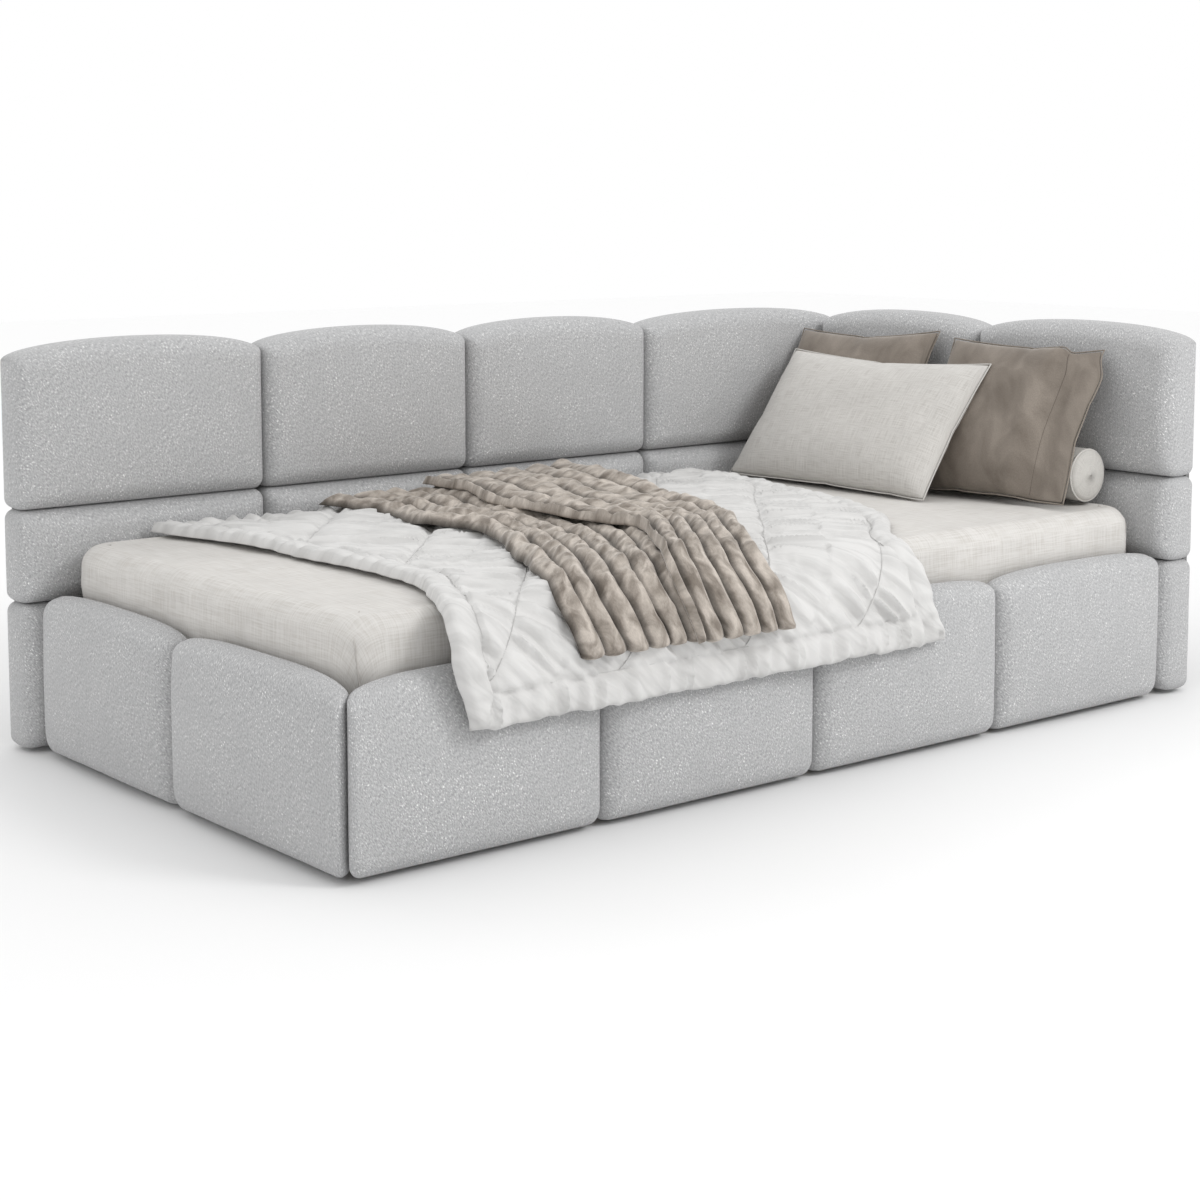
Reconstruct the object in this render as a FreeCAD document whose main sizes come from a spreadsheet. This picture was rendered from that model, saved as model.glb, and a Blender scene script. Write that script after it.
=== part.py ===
import FreeCAD, Part
import os
import re
import Sketcher

# Upholstered corner daybed for a 2000 x 1000 mm mattress, in millimetres.
# Frame: +Z up, X along the bed with the headboard at +X, the long back panel at +Y, the open side at -Y.
# Origin: middle of the floor footprint, bedding included.

PLUS_Z = FreeCAD.Vector(0, 0, 1)

DIMENSIONS = {
    # overall footprint
    "length_all": 2216,
    "width_all": 1257,
    # upholstered pads
    "pad_gap": 2,
    "pad_lift": 8,
    "base_depth": 72,
    "panel_depth": 116,
    "base_side": 289,
    "base_crown": 24,
    "row_bottom": 283,
    "row_middle": 179,
    "row_top": 286,
    "top_crown": 37,
    "pad_corner": 42,
    "pad_edge": 18,
    "row_corner": 16,
    "seam_first": 549,
    "pad_pitch": 507,
    "back_first": 542,
    "back_pitch": 515,
    "foot_first": 581,
    "head_first": 550,
    "head_inset": 25,
    # boards behind the panels
    "board_depth": 12,
    "board_inset": 30,
    "board_height": 706,
    # timber box under the mattress
    "rail_depth": 18,
    "rail_base": 20,
    "rail_height": 199,
    "beam_width": 30,
    "beam_height": 50,
    "leg_radius": 20,
    "slat_width": 80,
    "slat_depth": 14,
    "slat_pitch": 142,
    "slat_first": 28,
    # fastenings
    "bracket_arm": 60,
    "bracket_plate": 3,
    "bracket_height": 120,
    "bracket_base": 60,
    "hanger_depth": 4,
    "hanger_width": 60,
    "hanger_height": 60,
    "screw_radius": 6,
    "screw_head": 4,
    "screw_low": 70,
    "screw_high": 170,
    "screw_span": 110,
    "glide_radius": 9,
    "glide_inset": 120,
    # mattress and fitted sheet
    "mattress_length": 2000,
    "mattress_width": 1000,
    "mattress_depth": 180,
    "mattress_play": 8,
    "mattress_corner": 60,
    "mattress_edge": 30,
    "sheet_skin": 1.5,
    # quilted duvet
    "air": 0.5,
    "duvet_depth": 23,
    "duvet_flap": 20,
    "duvet_left": 342,
    "duvet_left_front": 318,
    "duvet_right_front": 1310,
    "duvet_right_back": 1660,
    "duvet_back": 8,
    "duvet_hang": 185,
    "duvet_toe_left": 232,
    "duvet_toe_right": 1362,
    # channel-quilted throw, its right part folded over
    "throw_depth": 20,
    "throw_flap": 20,
    "throw_back_left": 640,
    "throw_mid_left": 540,
    "throw_front_left": 440,
    "throw_front_right": 945,
    "throw_mid_right": 1195,
    "throw_back_right": 1290,
    "throw_middle": 470,
    "throw_back": 20,
    "throw_hang": 135,
    "throw_toe_left": 466,
    "throw_toe_right": 950,
    "fold_depth": 16,
    "fold_back_left": 930,
    "fold_front_left": 700,
    # pillows: the lens section is fuller on its front than on its back
    "pillow_hem": 12,
    "white_width": 610,
    "white_tall": 345,
    "white_front": 70,
    "white_back": 44,
    "white_lean": 37,
    "white_foot": 1728,
    "white_start": 402,
    "taupe_width": 440,
    "taupe_tall": 366,
    "taupe_front": 50,
    "taupe_back": 42,
    "taupe_lean": 34,
    "taupe_foot": 1860,
    "taupe_left_start": 640,
    "taupe_right_start": 148,
    "bolster_radius": 60,
    "bolster_long": 480,
    "bolster_start": 168,
    "bolster_gap": 2.5,
    "bolster_edge": 14,
}

BACK_PADS = 4
HEAD_PADS = 2
FRONT_PADS = 4
FOOT_PADS = 2
SLATS = 14

doc = FreeCAD.newDocument("Daybed")
sheet = doc.addObject("Spreadsheet::Sheet", "Dims")
for row, (alias, amount) in enumerate(DIMENSIONS.items(), start=1):
    sheet.set("A%d" % row, alias)
    sheet.set("B%d" % row, str(amount))
    sheet.setAlias("B%d" % row, alias)
doc.recompute()

# Places that several pieces share, each written with the sheet's names.
X_OUT = "(-length_all / 2)"
Y_BACK = "(width_all / 2)"
Y_OUT = "(%s - board_depth - panel_depth - 2 * mattress_play - mattress_width - base_depth)" % Y_BACK
X_HEAD = "(%s + base_depth + 2 * mattress_play + mattress_length)" % X_OUT
Y_WALL = "(%s - board_depth - panel_depth)" % Y_BACK
X_BED = "(%s + base_depth + mattress_play)" % X_OUT
Y_BED = "(%s + base_depth + mattress_play)" % Y_OUT
Z_SLAT = "(rail_base + rail_height)"
Z_BED = "(%s + slat_depth + air)" % Z_SLAT
Z_TOP = "(%s + mattress_depth)" % Z_BED
Z_MIDDLE = "(pad_lift + row_bottom + pad_gap)"
Z_UPPER = "(%s + row_middle + pad_gap)" % Z_MIDDLE

subparts = []


def bound(text):
    """The expression with each sheet name in it pointed at the sheet."""
    def point(found):
        name = found.group()
        return "Dims." + name if name in DIMENSIONS else name

    return re.sub(r"[a-z][a-z_]*", point, text)


def value(text):
    """The number that an expression gives now."""
    return float(sheet.evalExpression(bound(text)))


def place(item, x, y, z, turn=0, axis=PLUS_Z):
    """Put an object at a point given by expressions, turned about an axis in degrees."""
    item.Placement = FreeCAD.Placement(FreeCAD.Vector(), FreeCAD.Rotation(axis, turn))
    for name, text in (("x", x), ("y", y), ("z", z)):
        item.setExpression("Placement.Base." + name, bound(text))


def keep(item, label):
    """Name an object as a sub-part."""
    item.Label = label
    subparts.append(item)
    return item


# ---------------------------------------------------------------- sketched bodies

def origin_plane(body, role):
    return next(item for item in body.Origin.OriginFeatures if item.Role == role)


def pin_point(sketch, line, x, y):
    """Fix the start of a sketch line at a place given by two expressions."""
    for kind, text, axis in (("DistanceX", x, -2), ("DistanceY", y, -1)):
        if value(text) == 0:
            sketch.addConstraint(Sketcher.Constraint("PointOnObject", line, 1, axis))
        else:
            index = sketch.addConstraint(Sketcher.Constraint(kind, -1, 1, line, 1, value(text)))
            sketch.setExpression("Constraints[%d]" % index, bound(text))


def outline(body, role, corners, bows=None):
    """Closed counter-clockwise sketch outline. bows gives the outward rise of the sides that are arcs."""
    bows = bows or {}
    sketch = body.newObject("Sketcher::SketchObject", "Outline")
    sketch.AttachmentSupport = (origin_plane(body, role), "")
    sketch.MapMode = "FlatFace"
    points = [FreeCAD.Vector(value(x), value(y), 0) for x, y in corners]
    count = len(points)
    for index, start in enumerate(points):
        end = points[(index + 1) % count]
        if index in bows:
            along = end - start
            out = FreeCAD.Vector(along.y, -along.x, 0).normalize()
            middle = (start + end) * 0.5 + out * value(bows[index])
            sketch.addGeometry(Part.Arc(start, middle, end), False)
        else:
            sketch.addGeometry(Part.LineSegment(start, end), False)
    for index in range(count):
        sketch.addConstraint(Sketcher.Constraint("Coincident", index, 2, (index + 1) % count, 1))
    for index, (x, y) in enumerate(corners):
        pin_point(sketch, index, x, y)
    for index, rise in bows.items():
        (x_a, y_a), (x_b, y_b) = corners[index], corners[(index + 1) % count]
        chord = "((%s - (%s))^2 + (%s - (%s))^2)" % (x_b, x_a, y_b, y_a)
        radius = "(%s / 4 + (%s)^2) / (2 * (%s))" % (chord, rise, rise)
        number = sketch.addConstraint(Sketcher.Constraint("Radius", index, value(radius)))
        sketch.setExpression("Constraints[%d]" % number, bound(radius))
    return sketch


def extrude(body, sketch, depth, reverse=False):
    pad = body.newObject("PartDesign::Pad", "Pad")
    pad.Profile = sketch
    pad.Reversed = reverse
    pad.setExpression("Length", bound(depth))
    doc.recompute()
    return pad


def round_edges(body, base, radius, chosen):
    """Fillet the edges of a feature that a test picks out."""
    names = ["Edge%d" % (i + 1) for i, edge in enumerate(base.Shape.Edges) if chosen(edge)]
    fillet = body.newObject("PartDesign::Fillet", "Fillet")
    fillet.Base = (base, names)
    fillet.setExpression("Radius", bound(radius))
    doc.recompute()
    return fillet


def runs_along(edge, axis):
    """True for a straight edge along a local axis, 0, 1 or 2."""
    box = edge.BoundBox
    spans = (box.XLength, box.YLength, box.ZLength)
    return all(span < 1e-6 for i, span in enumerate(spans) if i != axis)


def new_body(label):
    return keep(doc.addObject("PartDesign::Body", label), label)


# ---------------------------------------------------------------- upholstered pads

def pad_body(label, width, tall, crown, depth, corner):
    """Cushioned panel: arched or flat top, rounded corners, rounded face edges; depth runs along +Y."""
    body = new_body(label)
    corners = [("0", "0"), (width, "0"), (width, tall), ("0", tall)]
    sketch = outline(body, "XZ_Plane", corners, {2: crown} if crown else None)
    block = extrude(body, sketch, depth, reverse=True)
    rounded = round_edges(body, block, corner, lambda edge: runs_along(edge, 1))
    faces = (0, value(depth))

    def flat(edge):
        box = edge.BoundBox
        return box.YLength < 1e-6 and min(abs(box.YMin - y) for y in faces) < 1e-6

    round_edges(body, rounded, "pad_edge", flat)
    return body


def mitre(body, name, wedge):
    """Cut a wedge, drawn in plan, off the end of a pad so that it meets its neighbour at 45 degrees."""
    sketch = outline(body, "XY_Plane", wedge)
    cut = body.newObject("PartDesign::Pocket", name)
    cut.Profile = sketch
    cut.Type = "ThroughAll"
    cut.Midplane = True
    doc.recompute()


def panel_row(prefix, starts, widths, turn, x, y):
    """The three rows of one upholstered panel, with seams at the given starts."""
    rows = (
        ("bottom", "pad_lift", "row_bottom", None, "row_corner + pad_edge"),
        ("middle", Z_MIDDLE, "row_middle", None, "row_corner + pad_edge"),
        ("top", Z_UPPER, "row_top", "top_crown", "pad_corner"),
    )
    for row_name, z, tall, crown, corner in rows:
        for number, (start, width) in enumerate(zip(starts, widths), start=1):
            label = "%s_pad_%s_%d" % (prefix, row_name, number)
            body = pad_body(label, width, tall, crown, "panel_depth", corner)
            if turn:
                place(body, x, "%s + %s" % (y, start), z, turn)
            else:
                place(body, "%s + %s" % (x, start), y, z)


def back_panel():
    starts = ["pad_gap / 2"]
    starts += ["back_first + %d * back_pitch + pad_gap / 2" % i for i in range(BACK_PADS - 1)]
    last = "length_all - board_depth - back_first - %d * back_pitch - pad_gap" % (BACK_PADS - 2)
    widths = ["back_first - pad_gap"] + ["back_pitch - pad_gap"] * (BACK_PADS - 2) + [last]
    panel_row("back", starts, widths, 0, X_OUT, Y_WALL)


def head_panel():
    starts = ["head_inset + pad_gap / 2", "head_inset + head_first + pad_gap / 2"]
    run = "(%s - (%s))" % (Y_WALL, Y_OUT)
    widths = ["head_first - pad_gap", "%s - head_inset - head_first - pad_gap" % run]
    panel_row("head", starts, widths, 90, "%s + panel_depth" % X_HEAD, Y_OUT)


def front_pads():
    edges = ["0"] + ["seam_first + %d * pad_pitch" % i for i in range(FRONT_PADS - 1)]
    edges.append("%s - (%s)" % (X_HEAD, X_OUT))
    for number in range(1, FRONT_PADS + 1):
        start, end = edges[number - 1], edges[number]
        first = "0" if number == 1 else "pad_gap / 2"
        width = "%s - (%s) - %s - pad_gap / 2" % (end, start, first)
        label = "front_pad_%d" % number
        body = pad_body(label, width, "base_side", "base_crown", "base_depth", "pad_corner")
        place(body, "%s + %s + %s" % (X_OUT, start, first), Y_OUT, "pad_lift")
        if number == 1:
            wedge = [("pad_gap / 2 - pad_corner", "-pad_corner"), ("base_depth + pad_gap / 2", "base_depth"),
                     ("base_depth + pad_gap / 2", "2 * base_depth"), ("-pad_corner", "2 * base_depth")]
            mitre(body, "FrontMitre", wedge)


def foot_pads():
    edges = ["0", "foot_first", "%s - (%s)" % (Y_WALL, Y_OUT)]
    for number in range(1, FOOT_PADS + 1):
        start, end = edges[number - 1], edges[number]
        first = "0" if number == 1 else "pad_gap / 2"
        width = "%s - (%s) - %s - pad_gap / 2" % (end, start, first)
        body = pad_body("foot_pad_%d" % number, width, "base_side", "base_crown", "base_depth", "pad_corner")
        place(body, "%s + base_depth" % X_OUT, "%s + %s + %s" % (Y_OUT, start, first), "pad_lift", 90)
        if number == 1:
            wedge = [("pad_gap / 2 - pad_corner", "base_depth + pad_corner"), ("-pad_corner", "-base_depth"),
                     ("base_depth + pad_gap / 2", "-base_depth"), ("base_depth + pad_gap / 2", "0")]
            mitre(body, "FootMitre", wedge)


# ---------------------------------------------------------------- timber box, boards and fastenings

def block(label, size, at):
    """Plain rectangular piece with its lowest corner at a point."""
    item = doc.addObject("Part::Box", label)
    for name, text in zip(("Length", "Width", "Height"), size):
        item.setExpression(name, bound(text))
    place(item, *at)
    return item


def rod(label, radius, tall, at, turn=0, axis=PLUS_Z):
    """Round piece that starts at a point and runs along local +Z."""
    item = doc.addObject("Part::Cylinder", label)
    item.setExpression("Radius", bound(radius))
    item.setExpression("Height", bound(tall))
    place(item, *at, turn, axis)
    return item


def group(label, pieces):
    """Identical fastenings kept together as one node of separate solids."""
    item = doc.addObject("Part::Compound", label)
    item.Links = pieces
    return keep(item, label)


def boards():
    """Plywood boards that the panel pads are screwed to from behind."""
    long_run = "length_all - 2 * board_inset - board_depth"
    keep(block("back_board", (long_run, "board_depth", "board_height"),
               ("%s + board_inset" % X_OUT, "%s - board_depth" % Y_BACK, "rail_base")), "back_board")
    short_run = "%s - (%s) - head_inset - board_inset" % (Y_WALL, Y_OUT)
    keep(block("head_board", ("board_depth", short_run, "board_height"),
               ("-(%s) - board_depth" % X_OUT, "%s + head_inset + board_inset" % Y_OUT, "rail_base")),
         "head_board")


def rails():
    """Four rails of the box, just inside the pads and below the mattress."""
    long_run = "mattress_length + 2 * mattress_play"
    short_run = "mattress_width + 2 * mattress_play - 2 * rail_depth"
    x_low = "%s + base_depth" % X_OUT
    y_low = "%s + base_depth" % Y_OUT
    for label, y in (("front_rail", y_low), ("back_rail", "%s - rail_depth" % Y_WALL)):
        keep(block(label, (long_run, "rail_depth", "rail_height"), (x_low, y, "rail_base")), label)
    for label, x in (("foot_rail", x_low), ("head_rail", "%s - rail_depth" % X_HEAD)):
        corner = (x, "%s + rail_depth" % y_low, "rail_base")
        keep(block(label, ("rail_depth", short_run, "rail_height"), corner), label)


def middle_support():
    """Centre beam, its hangers on the end rails, and its legs."""
    x_low = "%s + base_depth + rail_depth" % X_OUT
    y_mid = "(%s + base_depth + mattress_play + mattress_width / 2)" % Y_OUT
    run = "(mattress_length + 2 * mattress_play - 2 * rail_depth)"
    z_beam = "(%s - beam_height)" % Z_SLAT
    y_beam = "%s - beam_width / 2" % y_mid
    keep(block("centre_beam", ("%s - 2 * hanger_depth" % run, "beam_width", "beam_height"),
               ("%s + hanger_depth" % x_low, y_beam, z_beam)), "centre_beam")
    hangers = []
    for x in (x_low, "%s + %s - hanger_depth" % (x_low, run)):
        hangers.append(block("Hanger", ("hanger_depth", "hanger_width", "hanger_height"),
                             (x, "%s - hanger_width / 2" % y_mid, "%s - hanger_height" % Z_SLAT)))
    group("beam_hangers", hangers)
    legs = []
    for share in (1, 2, 3):
        legs.append(rod("Leg", "leg_radius", z_beam, ("%s + %s * %d / 4" % (x_low, run, share), y_mid, "0")))
    group("centre_legs", legs)


def slats():
    run = "mattress_width + 2 * mattress_play"
    for number in range(SLATS):
        label = "slat_%02d" % (number + 1)
        x = "%s + slat_first + %d * slat_pitch" % (X_BED, number)
        corner = (x, "%s - mattress_play" % Y_BED, Z_SLAT)
        keep(block(label, ("slat_width", run, "slat_depth"), corner), label)


def bracket(number, x, y, turn):
    """Steel angle for one inside corner of the box."""
    body = doc.addObject("PartDesign::Body", "Bracket%d" % number)
    corners = [("0", "0"), ("bracket_arm", "0"), ("bracket_arm", "bracket_plate"),
               ("bracket_plate", "bracket_plate"), ("bracket_plate", "bracket_arm"), ("0", "bracket_arm")]
    extrude(body, outline(body, "XY_Plane", corners), "bracket_height")
    place(body, x, y, "bracket_base", turn)
    return body


def corner_brackets():
    x_low = "%s + base_depth + rail_depth" % X_OUT
    y_low = "%s + base_depth + rail_depth" % Y_OUT
    x_high = "%s - rail_depth" % X_HEAD
    y_high = "%s - rail_depth" % Y_WALL
    spots = ((x_low, y_low, 0), (x_high, y_low, 90), (x_high, y_high, 180), (x_low, y_high, 270))
    group("corner_brackets", [bracket(i, x, y, turn) for i, (x, y, turn) in enumerate(spots)])


def pad_screws():
    """Screw heads on the inside of the front and foot rails, four to each pad."""
    heads = []
    x_edges = ["0"] + ["seam_first + %d * pad_pitch" % i for i in range(FRONT_PADS - 1)]
    x_edges.append("%s - (%s)" % (X_HEAD, X_OUT))
    y_edges = ["0", "foot_first", "%s - (%s)" % (Y_WALL, Y_OUT)]
    for z in ("screw_low", "screw_high"):
        for side in (-1, 1):
            for start, end in zip(x_edges, x_edges[1:]):
                x = "%s + (%s + %s) / 2 + %d * screw_span" % (X_OUT, start, end, side)
                y = "%s + base_depth + rail_depth" % Y_OUT
                heads.append(rod("Screw", "screw_radius", "screw_head", (x, y, z), -90,
                                 FreeCAD.Vector(1, 0, 0)))
            for start, end in zip(y_edges, y_edges[1:]):
                y = "%s + (%s + %s) / 2 + %d * screw_span" % (Y_OUT, start, end, side)
                x = "%s + base_depth + rail_depth" % X_OUT
                heads.append(rod("Screw", "screw_radius", "screw_head", (x, y, z), 90,
                                 FreeCAD.Vector(0, 1, 0)))
    group("pad_screws", heads)


def floor_glides():
    """Round glides under the long rails, which the box stands on."""
    glides = []
    run = "(mattress_length + 2 * mattress_play - 2 * glide_inset)"
    for y in ("%s + base_depth + rail_depth / 2" % Y_OUT, "%s - rail_depth / 2" % Y_WALL):
        for share in range(4):
            x = "%s + base_depth + glide_inset + %s * %d / 3" % (X_OUT, run, share)
            glides.append(rod("Glide", "glide_radius", "rail_base", (x, y, "0")))
    group("floor_glides", glides)


# ---------------------------------------------------------------- mattress and bedding

def slab(label, inset, tall):
    """Block with rounded plan corners and a rounded top edge, as large as the mattress less an inset."""
    body = doc.addObject("PartDesign::Body", label)
    long_side = "mattress_length - 2 * (%s)" % inset
    short_side = "mattress_width - 2 * (%s)" % inset
    corners = [("0", "0"), (long_side, "0"), (long_side, short_side), ("0", short_side)]
    blank = extrude(body, outline(body, "XY_Plane", corners), tall)
    rounded = round_edges(body, blank, "mattress_corner - (%s)" % inset, lambda edge: runs_along(edge, 2))
    top = value(tall)
    round_edges(body, rounded, "mattress_edge - (%s)" % inset, lambda edge: edge.BoundBox.ZMin > top - 1e-6)
    place(body, "%s + %s" % (X_BED, inset), "%s + %s" % (Y_BED, inset), Z_BED)
    return body


def mattress_and_sheet():
    """Mattress, and the fitted sheet as a skin over its top and sides."""
    keep(slab("mattress", "sheet_skin", "mattress_depth - sheet_skin"), "mattress")
    cover = doc.addObject("Part::Cut", "fitted_sheet")
    cover.Base = slab("SheetOuter", "0", "mattress_depth")
    cover.Tool = slab("SheetInner", "sheet_skin", "mattress_depth - sheet_skin")
    keep(cover, "fitted_sheet")


def laid_cloth(label, plan, top_depth, z, flap, flap_depth, y_inner):
    """Thick cloth that lies flat and hangs over the front rail; plan and flap are outlines."""
    body = doc.addObject("PartDesign::Body", label)
    extrude(body, outline(body, "XY_Plane", plan), top_depth)
    sketch = outline(body, "XZ_Plane", flap)
    sketch.setExpression("AttachmentOffset.Base.z", bound("-(%s)" % y_inner))
    extrude(body, sketch, flap_depth)
    place(body, X_OUT, "0", z)
    return body


def duvet():
    z = "(%s + air)" % Z_TOP
    y_inner = "(%s - air)" % Y_OUT
    y_front = "(%s - duvet_flap)" % y_inner
    y_far = "(%s - mattress_play - duvet_back)" % Y_WALL
    plan = [("duvet_left_front", y_front), ("duvet_right_front", y_front),
            ("duvet_right_back", y_far), ("duvet_left", y_far)]
    flap = [("duvet_toe_left", "-duvet_hang"), ("duvet_toe_right", "-duvet_hang"),
            ("duvet_right_front", "duvet_depth"), ("duvet_left_front", "duvet_depth")]
    keep(laid_cloth("duvet", plan, "duvet_depth", z, flap, "duvet_flap", y_inner), "duvet")


def throw():
    z = "(%s + 2 * air + duvet_depth)" % Z_TOP
    y_inner = "(%s - 2 * air - duvet_flap)" % Y_OUT
    y_front = "(%s - throw_flap)" % y_inner
    y_far = "(%s - mattress_play - throw_back)" % Y_WALL
    plan = [("throw_front_left", y_front), ("throw_front_right", y_front),
            ("throw_mid_right", "throw_middle - width_all / 2"), ("throw_back_right", y_far),
            ("throw_back_left", y_far), ("throw_mid_left", "throw_middle - width_all / 2")]
    flap = [("throw_toe_left", "-throw_hang"), ("throw_toe_right", "-throw_hang"),
            ("throw_front_right", "throw_depth"), ("throw_front_left", "throw_depth")]
    body = laid_cloth("throw", plan, "throw_depth", z, flap, "throw_flap", y_inner)
    fold = [("fold_front_left", y_front), ("throw_front_right", y_front),
            ("throw_mid_right", "throw_middle - width_all / 2"), ("throw_back_right", y_far),
            ("fold_back_left", y_far)]
    extrude(body, outline(body, "XY_Plane", fold), "throw_depth + fold_depth")
    keep(body, "throw")


def pillow(label, width, tall, front, back, lean, foot, start):
    """Pillow as a lens section run along its width, leaning back on its lower edge."""
    body = new_body(label)
    half = "pillow_hem / 2"
    corners = [("-" + half, "0"), (half, "0"), (half, tall), ("-" + half, tall)]
    sketch = outline(body, "XZ_Plane", corners, {1: "%s - %s" % (back, half), 3: "%s - %s" % (front, half)})
    extrude(body, sketch, width, reverse=True)
    lift = "%s + air + pillow_hem / 2 * sin(%s * 1 deg)" % (Z_TOP, lean)
    place(body, "%s + %s" % (X_OUT, foot), "%s + %s" % (Y_OUT, start), lift)
    body.Placement.Rotation = FreeCAD.Rotation(FreeCAD.Vector(0, 1, 0), value(lean))


def pillows():
    pillow("pillow_white", "white_width", "white_tall", "white_front", "white_back",
           "white_lean", "white_foot", "white_start")
    for side in ("left", "right"):
        pillow("pillow_taupe_" + side, "taupe_width", "taupe_tall", "taupe_front", "taupe_back",
               "taupe_lean", "taupe_foot", "taupe_%s_start" % side)


def bolster():
    """Small round bolster lying along the headboard."""
    body = new_body("bolster")
    corners = [("0", "0"), ("bolster_radius", "0"),
               ("bolster_radius", "bolster_long"), ("0", "bolster_long")]
    sketch = outline(body, "XY_Plane", corners)
    turned = body.newObject("PartDesign::Revolution", "Turned")
    turned.Profile = sketch
    turned.ReferenceAxis = (sketch, ["V_Axis"])
    turned.Angle = 360
    doc.recompute()
    ends = lambda edge: edge.BoundBox.YLength < 1e-6 and edge.BoundBox.XLength > 1
    round_edges(body, turned, "bolster_edge", ends)
    place(body, "%s - bolster_radius - bolster_gap" % X_HEAD, "%s + bolster_start" % Y_OUT,
          "%s + bolster_radius + air" % Z_TOP)


def check_and_write():
    """Stop on any failed object, then write one STEP file for each sub-part."""
    doc.recompute()
    for item in doc.Objects:
        bad = [state for state in item.State if state in ("Invalid", "Error")]
        if bad:
            raise RuntimeError("%s is %s" % (item.Label, bad))
    os.makedirs("parts", exist_ok=True)
    for item in subparts:
        if item.Shape.isNull() or not item.Shape.isValid():
            raise RuntimeError("%s has no valid shape" % item.Label)
        item.Shape.exportStep(os.path.join("parts", item.Label + ".step"))
    print(len(subparts), "sub-parts written")


back_panel()
head_panel()
front_pads()
foot_pads()
boards()
rails()
middle_support()
slats()
corner_brackets()
pad_screws()
floor_glides()
mattress_and_sheet()
duvet()
throw()
pillows()
bolster()
check_and_write()
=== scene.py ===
import math

import bpy
import numpy as np
from mathutils import Euler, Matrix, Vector


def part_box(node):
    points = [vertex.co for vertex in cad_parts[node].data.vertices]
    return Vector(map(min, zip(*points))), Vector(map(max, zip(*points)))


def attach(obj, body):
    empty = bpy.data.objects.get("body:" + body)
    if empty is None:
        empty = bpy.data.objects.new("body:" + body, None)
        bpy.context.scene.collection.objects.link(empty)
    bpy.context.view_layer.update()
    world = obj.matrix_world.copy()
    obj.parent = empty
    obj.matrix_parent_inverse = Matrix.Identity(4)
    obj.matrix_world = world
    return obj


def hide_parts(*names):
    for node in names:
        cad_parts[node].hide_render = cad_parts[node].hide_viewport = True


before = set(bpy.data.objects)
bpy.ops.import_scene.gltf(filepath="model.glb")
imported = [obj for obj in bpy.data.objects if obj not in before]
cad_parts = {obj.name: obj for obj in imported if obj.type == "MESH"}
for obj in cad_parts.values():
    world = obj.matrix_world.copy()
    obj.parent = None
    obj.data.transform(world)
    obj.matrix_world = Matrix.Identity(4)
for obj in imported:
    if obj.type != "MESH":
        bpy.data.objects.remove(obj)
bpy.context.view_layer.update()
scene = bpy.context.scene

# ---------------------------------------------------------------- places taken from the frame, in metres

PAD_FRONT_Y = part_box("front_pad_2")[0].y
PAD_FOOT_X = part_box("foot_pad_2")[0].x
BED_LOW, BED_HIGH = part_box("fitted_sheet")
BED_TOP = BED_HIGH.z

# ---------------------------------------------------------------- sizes of the soft pieces

BASE_CROWN = 0.031       # rise of the arched top of a front or foot pad
TOP_CROWN = 0.038        # the same in the top row of the panels
BED_CORNER = 0.07        # plan radius of the mattress corners
BED_EDGE = 0.042         # radius of its top edge
HEM_Z = 0.229            # height of the duvet's hem over the floor
HEM_BAND = 0.058         # width of the gathered band round the duvet
STITCH_LIFT = 0.0013     # how far a quilting thread lies over the cloth
THROW_CHANNEL = 0.047    # distance between the throw's seams
THROW_CHANNELS = 10      # in its lower layer
FOLD_CHANNELS = 5.3      # in the part folded back over it

# The quilting seams follow ACROSS * x + DOWN * run, and the crossing ones ACROSS * x - DOWN * run.
QUILT_ACROSS, QUILT_DOWN = 0.75, 0.66
QUILT_PITCH, QUILT_START = 0.215, 0.087
CROSSING_PITCH, CROSSING_START = 0.22, 0.552
QUILT_SEED = 20

SIM_FRAMES = 26
SIM_PRESSURE = 6.0


# ---------------------------------------------------------------- numbers and meshes

def smooth(low, high, x):
    """0 below low, 1 above high, smooth between."""
    t = np.clip((np.asarray(x, float) - low) / (high - low), 0, 1)
    return t * t * (3 - 2 * t)


def noise(x, y, seed=0):
    """Smooth value noise from -1 to 1 with features about one unit across."""
    table = np.random.RandomState(seed).uniform(-1, 1, (64, 64))
    x, y = np.broadcast_arrays(np.asarray(x, float), np.asarray(y, float))
    column, row = np.floor(x).astype(int), np.floor(y).astype(int)
    fx, fy = x - column, y - row
    fx, fy = fx * fx * (3 - 2 * fx), fy * fy * (3 - 2 * fy)
    corner = lambda i, j: table[(column + i) % 64, (row + j) % 64]
    low = corner(0, 0) * (1 - fx) + corner(1, 0) * fx
    high = corner(0, 1) * (1 - fx) + corner(1, 1) * fx
    return low * (1 - fy) + high * fy


def layered(x, y, seed=0, octaves=3):
    """Several sizes of noise added up."""
    total = 0
    for k in range(octaves):
        total = total + noise(x * 2 ** k + 7.3 * k, y * 2 ** k + 3.1 * k, seed + k) / 2 ** k
    return total


def through(keys, values, x):
    """Smooth curve through a few given points, as monotone cubic pieces."""
    keys, values = np.asarray(keys, float), np.asarray(values, float)
    slopes = np.gradient(values, keys)
    x = np.clip(x, keys[0], keys[-1])
    i = np.clip(np.searchsorted(keys, x) - 1, 0, len(keys) - 2)
    step = keys[i + 1] - keys[i]
    t = (x - keys[i]) / step
    a, b = 2 * t ** 3 - 3 * t ** 2 + 1, t ** 3 - 2 * t ** 2 + t
    leaving = a * values[i] + b * step * slopes[i]
    return leaving + (1 - a) * values[i + 1] + (t ** 3 - t ** 2) * step * slopes[i + 1]


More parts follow.
